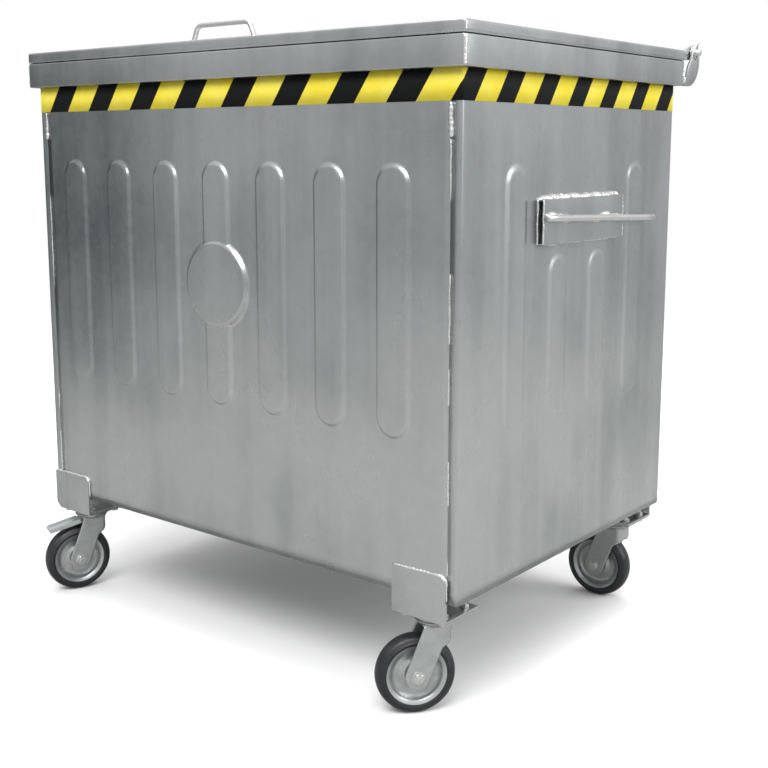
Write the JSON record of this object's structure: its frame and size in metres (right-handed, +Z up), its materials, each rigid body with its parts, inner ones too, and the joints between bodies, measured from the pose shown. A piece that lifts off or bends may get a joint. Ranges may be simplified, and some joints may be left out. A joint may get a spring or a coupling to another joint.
{
  "type": "oily waste can",
  "caption": "Galvanised steel oily-waste container with pressed ribs, a striped warning band, a rear-hinged flat lid, side lifting sleeves and swivel casters.",
  "frame": {"origin": "on the floor under the centre of the overall footprint", "axes": "+X along the front to the right, +Y towards the hinge side, +Z up"},
  "size_m": [1.1369, 0.8793, 1.1829],
  "materials": {
    "galvanised_sheet": "mottled galvanised",
    "zinc_bright": "bright zinc",
    "zinc_pressed": "zinc-plated pressed steel",
    "wheel_zinc": "zinc-plated pressed steel",
    "pedal_zinc": "pale zinc",
    "warning_tape": "yellow and black slanted stripes",
    "tyre_rubber": "satin black rubber"
  },
  "bodies": {
    "body": {"front_panel": "galvanised_sheet", "rear_panel": "galvanised_sheet", "left_side_panel": "galvanised_sheet", "right_side_panel": "galvanised_sheet", "floor_panel": "galvanised_sheet", "rim_front": "galvanised_sheet", "rim_rear": "galvanised_sheet", "rim_left": "galvanised_sheet", "rim_right": "galvanised_sheet", "warning_tape": "warning_tape", "hinge_lug_left": "galvanised_sheet", "hinge_lug_right": "galvanised_sheet", "hinge_rod": "zinc_bright", "rod_washers": "zinc_bright", "split_pins": "zinc_bright", "lift_sleeve_left": "galvanised_sheet", "lift_sleeve_right": "galvanised_sheet", "lift_bar_left": "zinc_bright", "lift_bar_right": "zinc_bright", "bracket_front_left": "galvanised_sheet", "bracket_front_right": "galvanised_sheet", "bracket_rear_left": "galvanised_sheet", "bracket_rear_right": "galvanised_sheet", "plate_bolts": "zinc_bright", "plate_nuts": "zinc_bright", "caster_plate_fl": "zinc_pressed", "caster_plate_fr": "zinc_pressed", "caster_plate_rl": "zinc_pressed", "caster_plate_rr": "zinc_pressed"},
    "lid": {"lid_pan": "galvanised_sheet", "lid_stiffener_left": "galvanised_sheet", "lid_stiffener_right": "galvanised_sheet", "lid_ear_left": "galvanised_sheet", "lid_ear_right": "galvanised_sheet", "lid_handle": "zinc_bright"},
    "fork_front_left": {"fork_fl": "zinc_pressed", "axle_fl": "zinc_bright"},
    "wheel_front_left": {"wheel_hub_fl": "zinc_pressed", "wheel_rim_fl": "wheel_zinc", "tyre_fl": "tyre_rubber"},
    "fork_front_right": {"fork_fr": "zinc_pressed", "axle_fr": "zinc_bright"},
    "wheel_front_right": {"wheel_hub_fr": "zinc_pressed", "wheel_rim_fr": "wheel_zinc", "tyre_fr": "tyre_rubber"},
    "fork_rear_left": {"fork_rl": "zinc_pressed", "axle_rl": "zinc_bright"},
    "wheel_rear_left": {"wheel_hub_rl": "zinc_pressed", "wheel_rim_rl": "wheel_zinc", "tyre_rl": "tyre_rubber"},
    "fork_rear_right": {"fork_rr": "zinc_pressed", "axle_rr": "zinc_bright"},
    "wheel_rear_right": {"wheel_hub_rr": "zinc_pressed", "wheel_rim_rr": "wheel_zinc", "tyre_rr": "tyre_rubber"},
    "pedal_front_left": {"brake_pedal_fl": "pedal_zinc"},
    "pedal_rear_left": {"brake_pedal_rl": "pedal_zinc"}
  },
  "joints": [
    {"name": "lid_hinge", "type": "hinge", "parent": "body", "child": "lid", "pos_m": [0, 0.42524, 1.148], "axis": [-1, 0, 0], "range_deg": [0, 255]},
    {"name": "front_left_swivel", "type": "hinge", "parent": "body", "child": "fork_front_left", "pos_m": [-0.477, -0.33676, 0.15], "axis": [0, 0, 1], "continuous": true},
    {"name": "front_left_wheel_spin", "type": "hinge", "parent": "fork_front_left", "child": "wheel_front_left", "pos_m": [-0.49011, -0.36922, 0.07], "axis": [0.9272, -0.3746, 0], "continuous": true},
    {"name": "front_right_swivel", "type": "hinge", "parent": "body", "child": "fork_front_right", "pos_m": [0.459, -0.33676, 0.15], "axis": [0, 0, 1], "continuous": true},
    {"name": "front_right_wheel_spin", "type": "hinge", "parent": "fork_front_right", "child": "wheel_front_right", "pos_m": [0.4365, -0.36358, 0.07], "axis": [0.766, -0.6428, 0], "continuous": true},
    {"name": "rear_left_swivel", "type": "hinge", "parent": "body", "child": "fork_rear_left", "pos_m": [-0.477, 0.31524, 0.15], "axis": [0, 0, 1], "continuous": true},
    {"name": "rear_left_wheel_spin", "type": "hinge", "parent": "fork_rear_left", "child": "wheel_rear_left", "pos_m": [-0.50872, 0.30044, 0.07], "axis": [0.4226, -0.9063, 0], "continuous": true},
    {"name": "rear_right_swivel", "type": "hinge", "parent": "body", "child": "fork_rear_right", "pos_m": [0.459, 0.31524, 0.15], "axis": [0, 0, 1], "continuous": true},
    {"name": "rear_right_wheel_spin", "type": "hinge", "parent": "fork_rear_right", "child": "wheel_rear_right", "pos_m": [0.42401, 0.31462, 0.07], "axis": [0.0175, -0.9998, 0], "continuous": true},
    {"name": "front_left_brake_pedal", "type": "hinge", "parent": "fork_front_left", "child": "pedal_front_left", "pos_m": [-0.48449, -0.35531, 0.1526], "axis": [0.9272, -0.3746, 0], "range_deg": [0, 8]},
    {"name": "rear_left_brake_pedal", "type": "hinge", "parent": "fork_rear_left", "child": "pedal_rear_left", "pos_m": [-0.49513, 0.30678, 0.1526], "axis": [0.4226, -0.9063, 0], "range_deg": [0, 8]}
  ]
}
